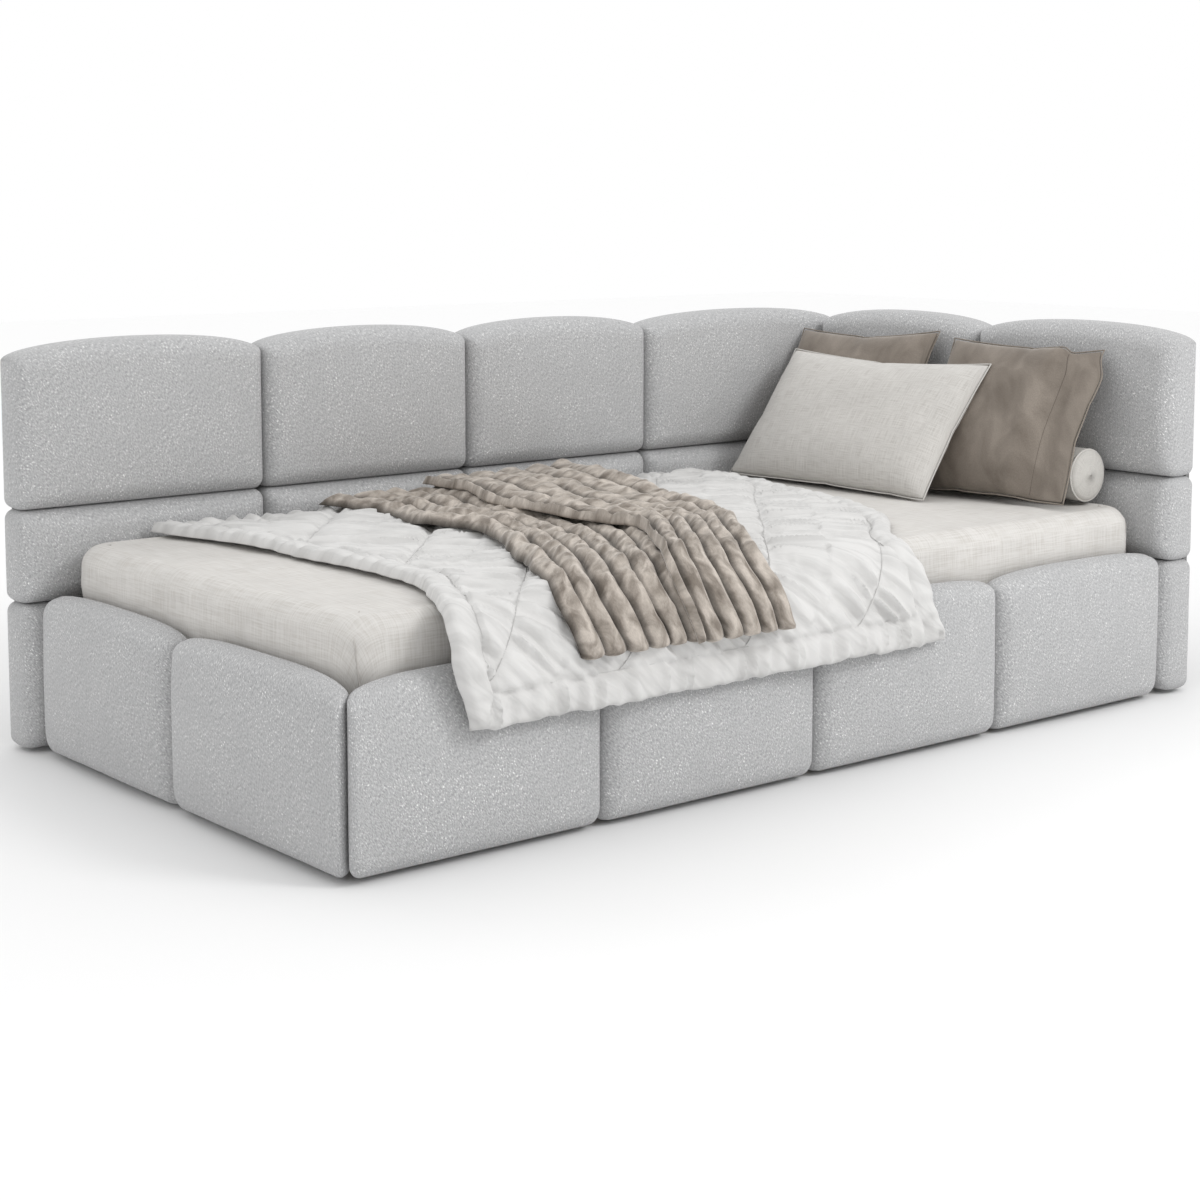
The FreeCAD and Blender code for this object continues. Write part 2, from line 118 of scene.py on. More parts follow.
def make_mesh(name, points, faces, material, uvs=None):
    """A smooth-shaded mesh object; uvs holds one pair per vertex, in metres of cloth."""
    mesh = bpy.data.meshes.new(name)
    mesh.from_pydata([tuple(p) for p in points], [], faces)
    mesh.polygons.foreach_set("use_smooth", [True] * len(mesh.polygons))
    if uvs is not None:
        corners = np.zeros(len(mesh.loops), int)
        mesh.loops.foreach_get("vertex_index", corners)
        layer = mesh.uv_layers.new(name="cloth")
        layer.data.foreach_set("uv", np.asarray(uvs, np.float32)[corners].ravel())
    mesh.materials.append(material)
    mesh.update()
    piece = bpy.data.objects.new(name, mesh)
    scene.collection.objects.link(piece)
    return piece


def thin_tube(name, points, radius, material, body, closed=False):
    """A thread, cord or piping along a list of points, riding on a body."""
    curve = bpy.data.curves.new(name, "CURVE")
    curve.dimensions = "3D"
    spline = curve.splines.new("POLY")
    spline.points.add(len(points) - 1)
    spline.points.foreach_set("co", np.column_stack([points, np.ones(len(points))]).ravel())
    spline.use_cyclic_u = closed
    curve.bevel_depth = radius
    curve.bevel_resolution = 2
    curve.materials.append(material)
    piece = bpy.data.objects.new(name, curve)
    scene.collection.objects.link(piece)
    declare(piece, body)


def quad_strip(first, second, closed):
    """Faces between two equally long rows of vertex numbers."""
    count = len(first)
    last = count if closed else count - 1
    return [(first[i], first[(i + 1) % count], second[(i + 1) % count], second[i]) for i in range(last)]


def ring_faces(rings, count):
    """Faces that join each closed ring of so many points to the next ring."""
    faces = []
    for k in range(rings - 1):
        faces += quad_strip(range((k + 1) * count, (k + 2) * count), range(k * count, (k + 1) * count), True)
    return faces


def declare(piece, body, node=None):
    """Says which body a piece rides on, and which CAD solid it stands for."""
    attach(piece, body)
    if node:
        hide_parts(node)


# ---------------------------------------------------------------- materials

class Finish:
    """A node-built material: a Principled shader with a few helpers."""

    def __init__(self, name, roughness, sheen=0.0, sheen_roughness=0.5, specular=0.3):
        self.material = bpy.data.materials.new(name)
        self.material.use_nodes = True
        self.tree = self.material.node_tree
        self.shader = self.tree.nodes["Principled BSDF"]
        self.shader.inputs["Roughness"].default_value = roughness
        self.shader.inputs["Sheen Weight"].default_value = sheen
        self.shader.inputs["Sheen Roughness"].default_value = sheen_roughness
        self.shader.inputs["Specular IOR Level"].default_value = specular
        self.place = self.tree.nodes.new("ShaderNodeTexCoord")
        self.heights = []

    def node(self, kind, **settings):
        """A new node; a setting is one of its own properties or else one of its sockets."""
        made = self.tree.nodes.new("ShaderNode" + kind)
        for key, value in settings.items():
            if hasattr(made, key):
                setattr(made, key, value)
            else:
                made.inputs[key.replace("_", " ")].default_value = value
        return made

    def link(self, source, target):
        """Joins one socket to another."""
        self.tree.links.new(source, target)

    def mapped(self, scale, turn=0.0, source="UV"):
        """Places on the cloth, first turned and then counted in features per metre along each way."""
        mapping = self.node("Mapping", vector_type="TEXTURE")
        mapping.inputs["Scale"].default_value = [1 / size for size in scale]
        mapping.inputs["Rotation"].default_value = (0, 0, turn)
        self.link(self.place.outputs[source], mapping.inputs["Vector"])
        return mapping.outputs["Vector"]

    def speckle(self, vector, detail=2.0, distortion=0.0):
        """Noise with features about one unit across."""
        made = self.node("TexNoise", Scale=1.0, Detail=detail, Distortion=distortion)
        self.link(vector, made.inputs["Vector"])
        return made.outputs["Fac"]

    def ramp(self, value, stops):
        """Colours for a value, from (position, colour) stops."""
        made = self.node("ValToRGB")
        made.color_ramp.elements[0].position = stops[0][0]
        made.color_ramp.elements[0].color = (*stops[0][1], 1)
        made.color_ramp.elements[1].position = stops[-1][0]
        made.color_ramp.elements[1].color = (*stops[-1][1], 1)
        for position, colour in stops[1:-1]:
            made.color_ramp.elements.new(position).color = (*colour, 1)
        self.link(value, made.inputs["Fac"])
        return made.outputs["Color"]

    def mix(self, share, first, second, blend="MIX"):
        """Two colours mixed; each input is a socket, a number or a colour."""
        made = self.node("Mix", data_type="RGBA", blend_type=blend)
        for socket, item in ((made.inputs[0], share), (made.inputs[6], first), (made.inputs[7], second)):
            if isinstance(item, bpy.types.NodeSocket):
                self.link(item, socket)
            else:
                socket.default_value = item if np.isscalar(item) else (*item, 1)
        return made.outputs[2]

    def colour(self, source):
        """Takes the surface's colour from a socket."""
        self.link(source, self.shader.inputs["Base Color"])

    def bump(self, height, strength, distance):
        """Adds one layer of relief, put together by done()."""
        self.heights.append((height, strength, distance))

    def done(self):
        """Chains the layers of relief and gives the material."""
        previous = None
        for height, strength, distance in self.heights:
            made = self.node("Bump", Strength=strength, Distance=distance)
            self.link(height, made.inputs["Height"])
            if previous is not None:
                self.link(previous, made.inputs["Normal"])
            previous = made.outputs["Normal"]
        if previous is not None:
            self.link(previous, self.shader.inputs["Normal"])
        return self.material


def grey(level):
    """A neutral colour."""
    return (level, level, level)


def upholstery_cloth():
    """Light grey woven cloth: slanting ribs with short pale slubs along them."""
    finish = Finish("upholstery_cloth", 0.9, sheen=0.25, sheen_roughness=0.4, specular=0.15)
    slant = math.radians(35)
    ribs = finish.speckle(finish.mapped((500, 170, 1), slant), detail=2.0)
    knots = finish.speckle(finish.mapped((300, 560, 1), -slant), detail=2.0)
    slubs = finish.speckle(finish.mapped((560, 210, 1), slant), detail=1.0, distortion=0.5)
    patches = finish.speckle(finish.mapped((13, 10, 1)), detail=4.0)
    base = finish.ramp(ribs, [(0.34, (0.33, 0.331, 0.335)), (0.5, (0.435, 0.436, 0.44)),
                              (0.66, (0.525, 0.526, 0.528))])
    crossed = finish.mix(0.45, base, finish.ramp(knots, [(0.3, grey(0.82)), (0.62, grey(1.0))]), "MULTIPLY")
    dense = finish.ramp(patches, [(0.36, grey(0.35)), (0.6, grey(1.0))])
    flecks = finish.ramp(slubs, [(0.63, grey(0.0)), (0.68, grey(1.0))])
    share = finish.mix(1.0, flecks, dense, "MULTIPLY")
    finish.colour(finish.mix(share, crossed, (0.86, 0.86, 0.85)))
    finish.bump(ribs, 0.7, 0.0016)
    finish.bump(knots, 0.4, 0.001)
    finish.bump(slubs, 0.4, 0.001)
    return finish.done()


def linen_cloth(name, light, dark, scale, source="UV"):
    """Plain linen weave: uneven threads both ways with soft stains of tone."""
    finish = Finish(name, 0.88, sheen=0.1, specular=0.15)
    warp = finish.speckle(finish.mapped((scale, scale * 0.045, scale * 0.045), 0, source), detail=3.0)
    weft = finish.speckle(finish.mapped((scale * 0.045, scale, scale), 0, source), detail=3.0)
    both = finish.mix(0.5, warp, weft)
    tone = finish.ramp(both, [(0.38, dark), (0.52, light), (0.62, tuple(min(1, c * 1.06) for c in light))])
    patches = finish.speckle(finish.mapped((9, 9, 9), 0, source), detail=4.0)
    stains = finish.ramp(patches, [(0.3, grey(0.9)), (0.6, grey(1.0))])
    finish.colour(finish.mix(0.6, tone, stains, "MULTIPLY"))
    finish.bump(both, 0.5, 0.0009)
    return finish.done()


def thread_cloth(name, light, dark):
    """Twisted sewing thread or piping cord."""
    return linen_cloth(name, light, dark, 2000, "Object")


def duvet_cloth():
    """White brushed cotton with a fine weave and soft creases square to the quilting seams; painted shade
    darkens the colour in the crease valleys.
    """
    finish = Finish("duvet_cloth", 0.8, sheen=0.3, sheen_roughness=0.35, specular=0.2)
    weave = finish.speckle(finish.mapped((900, 900, 1)), detail=2.0)
    seam_way = -0.85  # the turn of the duvet's stitched seams, in radians
    creases = finish.speckle(finish.mapped((50, 9, 1), seam_way), detail=3.0, distortion=0.6)
    # painted shade: the colour is darker where the crease noise is low, in the valleys of the same bump, and
    # lighter on its ridges
    tone = finish.ramp(creases, [(0.34, (0.54, 0.535, 0.525)), (0.58, (0.635, 0.629, 0.618))])
    finish.colour(tone)
    finish.bump(creases, 0.55, 0.006)
    finish.bump(weave, 0.25, 0.0006)
    return finish.done()


def velvet(name, light, dark, crush, channel=0.0):
    """Taupe velvet: the pile shows pale and dark smudges where it is pressed different ways.
    channel is the distance between quilting seams; towards each seam the colour is darkened as painted shade
    in the grooves."""
    finish = Finish(name, 0.75, sheen=0.6, sheen_roughness=0.3, specular=0.2)
    finish.shader.inputs["Sheen Tint"].default_value = (0.9, 0.86, 0.81, 1)
    smudge = finish.speckle(finish.mapped((crush, crush * 0.6, 1), 0.4), detail=7.0, distortion=0.5)
    pile = finish.speckle(finish.mapped((700, 260, 1)), detail=3.0)
    between = tuple((a + b) / 2 for a, b in zip(light, dark))
    tone = finish.ramp(smudge, [(0.34, dark), (0.5, between), (0.64, light)])
    tone = finish.mix(0.5, tone, finish.ramp(pile, [(0.35, grey(0.7)), (0.62, grey(1.0))]), "MULTIPLY")
    if channel:
        sides = finish.node("SeparateXYZ")
        finish.link(finish.place.outputs["UV"], sides.inputs["Vector"])
        away = finish.node("Math", operation="PINGPONG")
        away.inputs[1].default_value = channel / 2
        finish.link(sides.outputs["X"], away.inputs[0])
        seam_shade_share = finish.node("Math", operation="DIVIDE")
        seam_shade_share.inputs[1].default_value = channel / 2
        finish.link(away.outputs[0], seam_shade_share.inputs[0])
        # painted shade: the colour darkens towards each quilting seam, in the grooves between the padded
        # channels
        tone = finish.mix(1.0, tone, finish.ramp(seam_shade_share.outputs[0], [(0.02, grey(0.24)), (0.36, grey(1.0))]),
                          "MULTIPLY")
    finish.colour(tone)
    finish.bump(smudge, 0.3, 0.004)
    finish.bump(pile, 0.3, 0.0009)
    return finish.done()


def lining_cloth():
    """Dark grey bonded lining with a small dot emboss, stapled over the boards."""
    finish = Finish("lining_cloth", 0.92, specular=0.1)
    dots = finish.node("TexVoronoi", Scale=330.0)
    finish.link(finish.place.outputs["Object"], dots.inputs["Vector"])
    fibres = finish.speckle(finish.mapped((260, 260, 260), 0.3, "Object"), detail=4.0)
    finish.colour(finish.ramp(fibres, [(0.3, grey(0.16)), (0.7, grey(0.23))]))
    finish.bump(dots.outputs["Distance"], 0.5, 0.0006)
    return finish.done()


def planed_wood(name, light, dark, along):
    """Planed timber with its grain along one axis of the frame."""
    finish = Finish(name, 0.55, specular=0.35)
    scale = [70.0, 70.0, 70.0]
    scale[along] = 3.0
    grain = finish.speckle(finish.mapped(tuple(scale), 0, "Object"), detail=5.0, distortion=0.8)
    finish.colour(finish.ramp(grain, [(0.3, dark), (0.65, light)]))
    finish.bump(grain, 0.25, 0.0008)
    return finish.done()


def coated_metal(name, colour, roughness, metallic):
    """Painted or bare metal, or moulded plastic, with a faint grain."""
    finish = Finish(name, roughness, specular=0.5)
    finish.shader.inputs["Metallic"].default_value = metallic
    speck = finish.speckle(finish.mapped((900, 900, 900), 0, "Object"), detail=2.0)
    finish.colour(finish.ramp(speck, [(0.3, tuple(c * 0.85 for c in colour)), (0.7, colour)]))
    finish.bump(speck, 0.2, 0.0003)
    return finish.done()


UPHOLSTERY = upholstery_cloth()
SHEET_LINEN = linen_cloth("sheet_linen", (0.61, 0.594, 0.57), (0.535, 0.512, 0.48), 330)
PILLOW_LINEN = linen_cloth("pillow_linen", (0.56, 0.545, 0.52), (0.46, 0.44, 0.415), 520)
BOLSTER_COTTON = linen_cloth("bolster_cotton", (0.53, 0.515, 0.485), (0.46, 0.445, 0.42), 600)
TICKING = linen_cloth("mattress_ticking", (0.8, 0.79, 0.77), (0.7, 0.69, 0.67), 700)
DUVET_COTTON = duvet_cloth()
THROW_VELVET = velvet("throw_velvet", (0.55, 0.495, 0.44), (0.21, 0.18, 0.152), 48, THROW_CHANNEL)
PILLOW_VELVET = velvet("pillow_velvet", (0.265, 0.23, 0.196), (0.165, 0.14, 0.117), 15)
SHEET_SEAM = thread_cloth("sheet_seam", (0.50, 0.48, 0.455), (0.44, 0.42, 0.40))
DUVET_STITCH = thread_cloth("duvet_stitch", (0.54, 0.535, 0.525), (0.49, 0.485, 0.475))
LINEN_SEAM = thread_cloth("linen_seam", (0.56, 0.545, 0.52), (0.5, 0.485, 0.46))
BOLSTER_SEAM = thread_cloth("bolster_seam", (0.56, 0.545, 0.515), (0.5, 0.485, 0.46))
VELVET_SEAM = thread_cloth("velvet_seam", (0.25, 0.218, 0.186), (0.19, 0.163, 0.137))
DARK_THREAD = thread_cloth("dark_thread", (0.12, 0.1, 0.085), (0.09, 0.075, 0.063))


# ---------------------------------------------------------------- upholstered pads

def pad_outline(width, tall, crown, power, corner):
    """Closed outline from the bottom left corner, counter-clockwise: flat foot, plumb sides, arched top."""
    points = []

    def arc(cx, cy, start, end, radius, steps):
        for angle in np.linspace(start, end, steps, endpoint=False):
            points.append((cx + radius * math.cos(angle), cy + radius * math.sin(angle)))

    def line(x_a, y_a, x_b, y_b, steps):
        for share in np.linspace(0, 1, steps, endpoint=False):
            points.append((x_a + (x_b - x_a) * share, y_a + (y_b - y_a) * share))

    half = math.pi / 2
    arc(corner, corner, 2 * half, 3 * half, corner, 7)
    line(corner, 0, width - corner, 0, 24)
    arc(width - corner, corner, -half, 0, corner, 7)
    side = tall - crown if crown else tall - corner
    line(width, corner, width, side, 12)
    if crown:
        for angle in np.linspace(0, math.pi, 56, endpoint=False):
            reach = abs(math.cos(angle)) ** (2 / power) * (1 if angle < half else -1)
            points.append((width / 2 * (1 + reach), side + crown * math.sin(angle) ** (2 / power)))
    else:
        arc(width - corner, side, 0, half, corner, 7)
        line(width - corner, tall, corner, tall, 24)
        arc(corner, side, half, 2 * half, corner, 7)
    line(0, side, 0, corner, 12)
    return np.array(points)


def outward(outline):
    """Unit normals of a counter-clockwise outline."""
    along = np.roll(outline, -1, 0) - np.roll(outline, 1, 0)
    across = np.column_stack([along[:, 1], -along[:, 0]])
    return across / np.linalg.norm(across, axis=1)[:, None]


def cushioned(name, outline, depth, edge, rear, bulge, to_frame, back_bulge=0.0, seed=0, sag=0.0):
    """Closed padded block. Rings run from the middle of the front face, over its rounded edge, to the back.
    edge and rear are the radii of its front and back edges; bulge is how far the front face swells, and sag
    how much more it does so low down. to_frame turns (across, up, out) into a place in the frame."""
    normal = outward(outline)
    centre = (outline.min(0) + outline.max(0)) / 2
    half = (outline.max(0) - outline.min(0)) / 2
    rings, marks = [], []

    def inset(distance):
        return centre + (outline - centre) * (half - distance) / half

    def swell(flat, amount, power=2.6):
        s, t = ((flat - centre) / half).T
        return amount * np.clip(1 - np.abs(s) ** power, 0, 1) * np.clip(1 - np.abs(t) ** power, 0, 1)

    def face(flat, out, amount, sign):
        ripple = 0.0009 * layered(flat[:, 0] * 9 + seed, flat[:, 1] * 9, seed)
        drop = sag * np.clip(1 - ((flat[:, 1] - centre[1]) / half[1] + 0.35) ** 2, 0, 1)
        rise = swell(flat, amount + drop) + ripple * (swell(flat, 1.0) > 0.02)
        return np.column_stack([flat, out + sign * rise])

    front, back = depth - bulge, back_bulge
    inner = inset(edge)
    shares = np.array([0.06, 0.16, 0.27, 0.38, 0.49, 0.6, 0.7, 0.79, 0.87, 0.93, 0.975])
    for share in shares:
        flat = centre + (inner - centre) * share
        rings.append(face(flat, front, bulge, 1))
        marks.append(flat)
    for angle in np.linspace(0, math.pi / 2, 7):
        flat = inset(edge * (1 - math.sin(angle)))
        rings.append(face(flat, front - edge * (1 - math.cos(angle)), bulge * math.cos(angle) ** 2, 1))
        marks.append(flat + normal * edge * max(0.0, angle - 1))
    for share in np.linspace(0, 1, 6)[1:-1]:
        out = front - edge - (front - back - edge - rear) * share
        pinch = normal * 0.0015 * math.sin(math.pi * share)
        rings.append(np.column_stack([outline + pinch, np.full(len(outline), out)]))
        marks.append(outline + normal * (edge * 0.6 + front - edge - out))
    for angle in np.linspace(math.pi / 2, 0, 7):
        flat = inset(rear * (1 - math.sin(angle)))
        rings.append(face(flat, back + rear * (1 - math.cos(angle)), back_bulge * math.cos(angle) ** 2, -1))
        marks.append(outline + normal * (front - 0.4 * edge - rear - back + rear * (math.pi / 2 - angle)))
    for share in shares[::-2]:
        rings.append(face(centre + (inset(rear) - centre) * share, back, back_bulge, -1))
        marks.append(outline + normal * (depth + (1 - share) * half.mean()))

    count = len(outline)
    local = np.concatenate(rings + [[[*centre, front + bulge]], [[*centre, back - back_bulge]]])
    faces = ring_faces(len(rings), count)
    last = (len(rings) - 1) * count
    faces += [(len(local) - 2, i, (i + 1) % count) for i in range(count)]
    faces += [(len(local) - 1, last + (i + 1) % count, last + i) for i in range(count)]
    uvs = np.concatenate(marks + [[centre], [centre]]) + seed * 0.37
    return make_mesh(name, to_frame(local), faces, UPHOLSTERY, uvs)


def frame_axes(origin, across, out):
    """Turns local (across, up, out) into the frame."""
    origin, across, out = (np.array(v, float) for v in (origin, across, out))
    up = np.array((0, 0, 1.0))

    def turned(local):
        place = origin + np.outer(local[:, 0], across) + np.outer(local[:, 1], up)
        return place + np.outer(local[:, 2], out)
    return turned


def mitred(to_frame, depth, width, at_left, gap=0.0012):
    """Shears one end of a pad so that it meets its neighbour along a 45 degree joint."""
    def turned(local):
        moved = local.copy()
        from_end = local[:, 0] if at_left else width - local[:, 0]
        reach = (depth - local[:, 2]) * (1 - smooth(0.0, 0.24, from_end)) + gap
        moved[:, 0] += reach if at_left else -reach
        return to_frame(moved)
    return turned


def finish_pad(piece, node):
    """Says what a finished pad rides on and stands for."""
    declare(piece, "frame", node)


def pad_place(low, high, facing):
    """Width and depth of a pad between two corners, and how its own axes lie in the frame."""
    if facing == "-Y":
        return high.x - low.x, high.y - low.y, frame_axes((low.x, high.y, low.z), (1, 0, 0), (0, -1, 0))
    return high.y - low.y, high.x - low.x, frame_axes((high.x, high.y, low.z), (0, -1, 0), (-1, 0, 0))


def panel_pad(node, facing, number):
    """One pad of the back panel (facing -Y) or the headboard (facing -X), in the place of its CAD solid."""
    low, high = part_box(node)
    width, depth, place = pad_place(low, high, facing)
    crown = TOP_CROWN if "_top_" in node else 0.0
    outline = pad_outline(width, high.z - low.z, crown, power=2.05, corner=0.019)
    piece = cushioned(node + "_cushion", outline, depth, edge=0.034, rear=0.02, bulge=0.017, to_frame=place,
                      back_bulge=0.003, seed=number)
    finish_pad(piece, node)


def base_pad(node, facing, number):
    """One pad of the front rail (facing -Y) or the foot end (facing -X)."""
    low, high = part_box(node)
    corner_pad = node.endswith("_1")
    if corner_pad and facing == "-Y":
        low = Vector((PAD_FOOT_X, low.y, low.z))
    elif corner_pad:
        low = Vector((low.x, PAD_FRONT_Y, low.z))
    width, depth, place = pad_place(low, high, facing)
    if corner_pad:
        place = mitred(place, depth, width, facing == "-Y")
    outline = pad_outline(width, high.z - low.z + 0.002, BASE_CROWN, power=2.8, corner=0.024)
    piece = cushioned(node + "_cushion", outline, depth, edge=0.031, rear=0.01, bulge=0.02, to_frame=place,
                      seed=number, sag=0.003)
    finish_pad(piece, node)


def all_pads():
    """Every pad, numbered in order, so that each has its own ripples."""
    number = 1
    for row in ("bottom", "middle", "top"):
        for index in range(1, 5):
            panel_pad("back_pad_%s_%d" % (row, index), "-Y", number)
            number += 1
        for index in range(1, 3):
            panel_pad("head_pad_%s_%d" % (row, index), "-X", number)
            number += 1
    for index in range(1, 5):
        base_pad("front_pad_%d" % index, "-Y", number)
        number += 1
    for index in range(1, 3):
        base_pad("foot_pad_%d" % index, "-X", number)
        number += 1


# ---------------------------------------------------------------- mattress and fitted sheet

def bed_block(name, inset, material, open_below):
    """Mattress shape: rounded plan corners, rolled top edge, slightly crowned top, walls down to the slats.
    The fitted sheet is open below, where its rim turns in under the mattress."""
    low = Vector((BED_LOW.x + inset, BED_LOW.y + inset))
    width, length = BED_HIGH.x - BED_LOW.x - 2 * inset, BED_HIGH.y - BED_LOW.y - 2 * inset
    corner, edge = BED_CORNER - inset, BED_EDGE - inset
    outline = []
    half = math.pi / 2
    far_x, far_y = width - corner, length - corner
    centres = ((corner, corner), (far_x, corner), (far_x, far_y), (corner, far_y))
    for k, (cx, cy) in enumerate(centres):
        for angle in np.linspace((k + 2) * half, (k + 3) * half, 12):
            outline.append((cx + corner * math.cos(angle), cy + corner * math.sin(angle)))
        nx, ny = centres[(k + 1) % 4]
        run = math.hypot(nx - cx, ny - cy)
        start = np.array((cx + corner * math.cos((k + 3) * half), cy + corner * math.sin((k + 3) * half)))
        along = np.array((nx - cx, ny - cy)) / run
        outline += [tuple(start + along * step) for step in np.arange(0.012, run - 0.006, 0.012)]
    outline = np.array(outline)
    normal = outward(outline)
    centre = np.array((width / 2, length / 2))
    top, foot = BED_TOP - inset, BED_LOW.z + inset + 0.001
    along = np.concatenate([[0], np.cumsum(np.linalg.norm(np.diff(outline, axis=0), axis=1))])

    rings, runs = [], []
    inner = outline - normal * edge
    shares = np.sqrt(np.linspace(0.002, 1, 26))[:-1]
    for share in shares:
        flat = centre + (inner - centre) * share
        crease = layered(flat[:, 0] * 5, flat[:, 1] * 7, 3) * 0.0018 * smooth(0.0, 0.3, share)
        rise = 0.004 * (1 - share ** 2) - 0.004
        rings.append(np.column_stack([flat, top + rise + crease - 0.0015]))
        runs.append(-(1 - share) * length / 2)
    for angle in np.linspace(0, half, 9):
        flat = outline - normal * edge * (1 - math.sin(angle))
        dent = 0.0022 * layered(along * 6, np.full(len(along), angle * 2), 5) * math.sin(angle)
        height = top - 0.003 - edge * (1 - math.cos(angle))
        rings.append(np.column_stack([flat - normal * np.abs(dent)[:, None], np.full(len(flat), height)]))
        runs.append(edge * (angle - 1))
    wall = top - 0.003 - edge - foot
    for share in np.linspace(0, 1, 16)[1:]:
        belly = 0.0035 * math.sin(math.pi * min(1, share * 1.2))
        tuck = smooth(0.15, 0.62, share)
        pucker = 0.0042 * tuck * np.abs(layered(along * 34, np.full(len(along), share * 1.3), 9))
        flat = outline + normal * (belly - 0.004 * tuck - pucker - 0.0025)[:, None]
        rings.append(np.column_stack([flat, np.full(len(flat), top - 0.003 - edge - wall * share)]))
        runs.append(edge * 0.6 + wall * share)
    if open_below:
        for reach in (0.012, 0.03, 0.055):
            ragged = reach + 0.004 * layered(along * 12, reach * 9, 11)
            flat = outline - normal * ragged[:, None]
            rings.append(np.column_stack([flat, np.full(len(flat), foot)]))
            runs.append(edge * 0.6 + wall + reach)

    count = len(outline)
    local = np.concatenate(rings)
    local[:, 0] += low.x
    local[:, 1] += low.y
    faces = ring_faces(len(rings), count)
    faces.append(tuple(range(count)))
    if not open_below:
        faces.append(tuple(range(len(local) - 1, len(local) - 1 - count, -1)))
    uvs = np.concatenate([ring[:, :2] + normal * max(0.0, run) for ring, run in zip(rings, runs)])
    return make_mesh(name, local, faces, material, uvs)


def sheet_corner_seams():
    """The dart sewn into each lower corner of the fitted sheet."""
    corners = ((BED_LOW.x, BED_LOW.y, 1, 1), (BED_HIGH.x, BED_LOW.y, -1, 1),
               (BED_HIGH.x, BED_HIGH.y, -1, -1), (BED_LOW.x, BED_HIGH.y, 1, -1))
    for index, (x, y, sx, sy) in enumerate(corners):
        points = []
        for share in np.linspace(0, 1, 18):
            bend = min(1.0, share / 0.25) * math.pi / 2
            inward = BED_EDGE * (1 - math.sin(bend)) + 0.0205 + 0.002 * smooth(0.3, 1, share)
            drop = BED_EDGE * (1 - math.cos(bend)) + max(0.0, share - 0.25) * 0.17
            lean = BED_CORNER * 0.18 * (share - 0.4)
            points.append((x + sx * (inward + lean), y + sy * (inward - lean), BED_TOP - 0.0035 - drop))
        thin_tube("sheet_corner_seam_%d" % (index + 1), points, 0.0011, SHEET_SEAM, "mattress")


def bed():
    """The mattress, and the fitted sheet stretched over it."""
    core = bed_block("mattress_core", 0.004, TICKING, False)
    declare(core, "mattress", "mattress")
    cover = bed_block("fitted_sheet_cloth", 0.0, SHEET_LINEN, True)
    skin = cover.modifiers.new("skin", "SOLIDIFY")
    skin.thickness = 0.0012
    skin.offset = -1
    declare(cover, "mattress", "fitted_sheet")
    sheet_corner_seams()


# ---------------------------------------------------------------- cloth laid over the bed and its front edge

class Drape:
    """The line that laid cloth follows: from the back of the bed, over its front edge, down past the pads."""

    FLAT_POINTS = 120

    def __init__(self, start_y, lift, front_y):
        """lift is its height over the bed, and front_y the place where it hangs."""
        top = BED_TOP + lift
        edge_y = BED_LOW.y + 0.05
        level = np.full(self.FLAT_POINTS, top)
        flat = np.column_stack([np.linspace(start_y, edge_y, self.FLAT_POINTS), level])
        bend = [(edge_y, top), (edge_y - 0.085 - lift * 0.4, top + 0.001), (front_y - 0.001, top - 0.02),
                (front_y, top - 0.105)]
        share = np.linspace(0, 1, 60)[1:, None]
        curve = sum(weight * np.array(point) for weight, point in zip(
            ((1 - share) ** 3, 3 * (1 - share) ** 2 * share, 3 * (1 - share) * share ** 2, share ** 3), bend))
        drop = np.column_stack([np.full(80, front_y), np.linspace(top - 0.105, 0.12, 81)[1:]])
        self.line = np.concatenate([flat, curve, drop])
        steps = np.linalg.norm(np.diff(self.line, axis=0), axis=1)
        self.run = np.concatenate([[0], np.cumsum(steps)])

    def at(self, run):
        """(y, z) and the outward normal's (y, z) at a distance along the line."""
        y, z = (np.interp(run, self.run, self.line[:, k]) for k in (0, 1))
        ahead, behind = np.clip(run + 0.004, 0, self.run[-1]), np.clip(run - 0.004, 0, self.run[-1])
        dy = np.interp(ahead, self.run, self.line[:, 0]) - np.interp(behind, self.run, self.line[:, 0])
        dz = np.interp(ahead, self.run, self.line[:, 1]) - np.interp(behind, self.run, self.line[:, 1])
        length = np.hypot(dy, dz)
        return y, z, dz / length, -dy / length

    def run_at_z(self, z):
        """Distance at which the hanging part comes down to a height."""
        hanging = slice(self.FLAT_POINTS, None)
        return float(np.interp(-z, -self.line[hanging, 1], self.run[hanging]))


def cloth_solid(name, upper, lower, material, uvs):
    """Closed cloth of two grids of points joined round the rim."""
    rows, columns = upper.shape[:2]
    count = rows * columns
    number = np.arange(count).reshape(rows, columns)
    faces = []
    for i in range(rows - 1):
        faces += quad_strip(number[i], number[i + 1], False)
        under = quad_strip(number[i] + count, number[i + 1] + count, False)
        faces += [tuple(reversed(quad)) for quad in under]
    rim = np.concatenate([number[0, :-1], number[:-1, -1], number[-1, :0:-1], number[:0:-1, 0]])
    faces += quad_strip(rim + count, rim, True)
    points = np.concatenate([upper.reshape(-1, 3), lower.reshape(-1, 3)])
    both = np.concatenate([uvs.reshape(-1, 2), uvs.reshape(-1, 2)])
    return make_mesh(name, points, faces, material, both)


DUVET_BACK_Y = BED_HIGH.y - 0.012
duvet_drape = Drape(DUVET_BACK_Y, 0.004, PAD_FRONT_Y - 0.012)


def duvet_edges(run):
    """Left and right edges of the duvet at each distance from its back edge."""
    flap = duvet_drape.run_at_z(0.36)
    left_keys = [0.0, 0.25, 0.50, 0.68, 0.84, 0.965, flap, duvet_drape.run_at_z(HEM_Z)]
    left = through(left_keys, [-0.862, -0.806, -0.792, -0.780, -0.800, -0.858, -0.902, -0.874], run)
    right_keys = [0.0, 0.25, 0.50, 0.70, 0.85, 0.965, flap, duvet_drape.run_at_z(HEM_Z)]
    right = through(right_keys, [0.580, 0.560, 0.505, 0.435, 0.345, 0.225, 0.200, 0.244], run)
    return left, right


